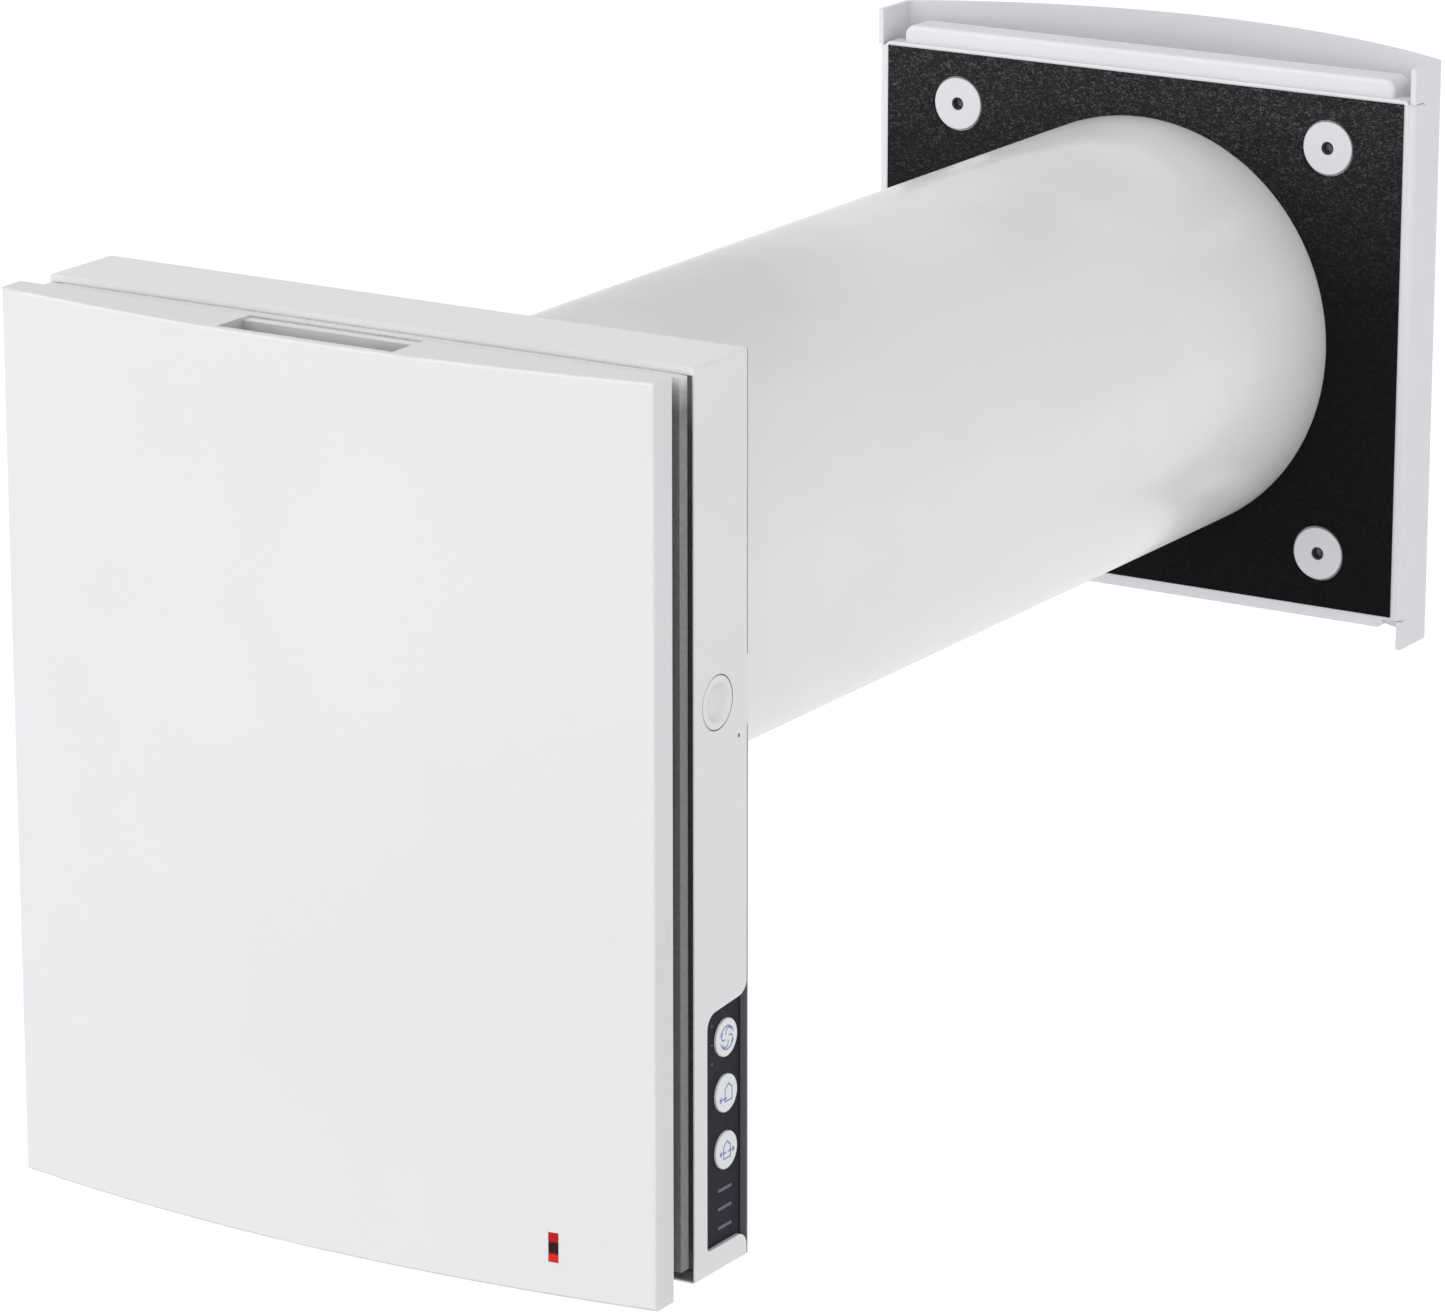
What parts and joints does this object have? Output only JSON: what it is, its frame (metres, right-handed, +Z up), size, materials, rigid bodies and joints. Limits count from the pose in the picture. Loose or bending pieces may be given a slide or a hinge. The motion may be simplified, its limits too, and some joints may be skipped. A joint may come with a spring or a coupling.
{
  "type": "through-wall heat recovery unit",
  "caption": "Single-room heat recovery unit: flat indoor unit with bulged front panel and side buttons, round wall duct with fan and heat store, and a square outdoor hood.",
  "frame": {"origin": "on the duct axis in the plane of the indoor wall face", "axes": "+Y along the duct towards outdoors, +Z up, +X to the right seen from the room"},
  "size_m": [0.246, 0.6003, 0.3036],
  "materials": {
    "unit_white": "fine matte",
    "panel_white": "satin",
    "foam_black": "closed-cell foam",
    "shutter_grey": "fine grain",
    "seal_rubber": "matte",
    "steel": "bright zinc",
    "bezel_grey": "matte",
    "overlay_navy": "printed film",
    "button_white": "satin",
    "light_guide": "frosted",
    "board_green": "solder mask",
    "part_black": "matte",
    "terminal_grey": "matte",
    "window_red": "tinted clear",
    "brass_part": "satin",
    "duct_white": "semi-gloss",
    "strap_webbing": "woven",
    "filter_fleece": "fibrous",
    "fan_black": "matte",
    "motor_metal": "satin",
    "core_ceramic": "unglazed",
    "sleeve_foam": "bead foam",
    "hood_white": "fine matte",
    "screen_metal": "woven wire"
  },
  "bodies": {
    "base": {"back_plate": "unit_white", "housing": "unit_white", "housing_lining": "foam_black", "guide_posts": "steel", "side_cap": "unit_white", "lock_screw": "steel", "control_bezel": "bezel_grey", "control_overlay": "overlay_navy", "light_guides": "light_guide", "control_board": "board_green", "key_switches": "part_black", "main_board": "board_green", "power_supply": "part_black", "terminal_block": "terminal_grey", "humidity_sensor": "board_green", "signal_receiver": "part_black", "shutter_actuator": "brass_part", "duct_tube": "duct_white", "pull_strap": "strap_webbing", "room_filter": "filter_fleece", "outdoor_filter": "filter_fleece", "finger_guard": "fan_black", "fan_frame": "fan_black", "fan_motor": "motor_metal", "heat_store": "core_ceramic", "heat_store_sleeve": "sleeve_foam", "hood_gasket": "foam_black", "hood_spacers": "hood_white", "hood_base": "hood_white", "hood_cover": "hood_white", "cover_screws": "steel", "insect_screen": "screen_metal"},
    "panel": {"front_panel": "panel_white", "panel_foam": "foam_black", "indicator_window": "window_red"},
    "shutter": {"shutter_plate": "shutter_grey", "shutter_seal": "seal_rubber", "shutter_pin": "brass_part"},
    "impeller": {"fan_impeller": "fan_black"},
    "speed_button": {"button_speed": "button_white"},
    "supply_button": {"button_supply": "button_white"},
    "recovery_button": {"button_recovery": "button_white"}
  },
  "joints": [
    {"name": "panel_pull_off", "type": "slide", "parent": "base", "child": "panel", "axis": [0, -1, 0], "range_m": [0, 0.06]},
    {"name": "shutter_close", "type": "slide", "parent": "base", "child": "shutter", "axis": [0, 1, 0], "range_m": [0, 0.0012]},
    {"name": "impeller_spin", "type": "hinge", "parent": "base", "child": "impeller", "pos_m": [0, 0.075, 0], "axis": [0, 1, 0], "continuous": true},
    {"name": "speed_press", "type": "slide", "parent": "base", "child": "speed_button", "axis": [-1, 0, 0], "range_m": [0, 0.0005], "stiffness_N_per_m": 600, "springref_m": -0.0005},
    {"name": "supply_press", "type": "slide", "parent": "base", "child": "supply_button", "axis": [-1, 0, 0], "range_m": [0, 0.0005], "stiffness_N_per_m": 600, "springref_m": -0.0005},
    {"name": "recovery_press", "type": "slide", "parent": "base", "child": "recovery_button", "axis": [-1, 0, 0], "range_m": [0, 0.0005], "stiffness_N_per_m": 600, "springref_m": -0.0005}
  ]
}
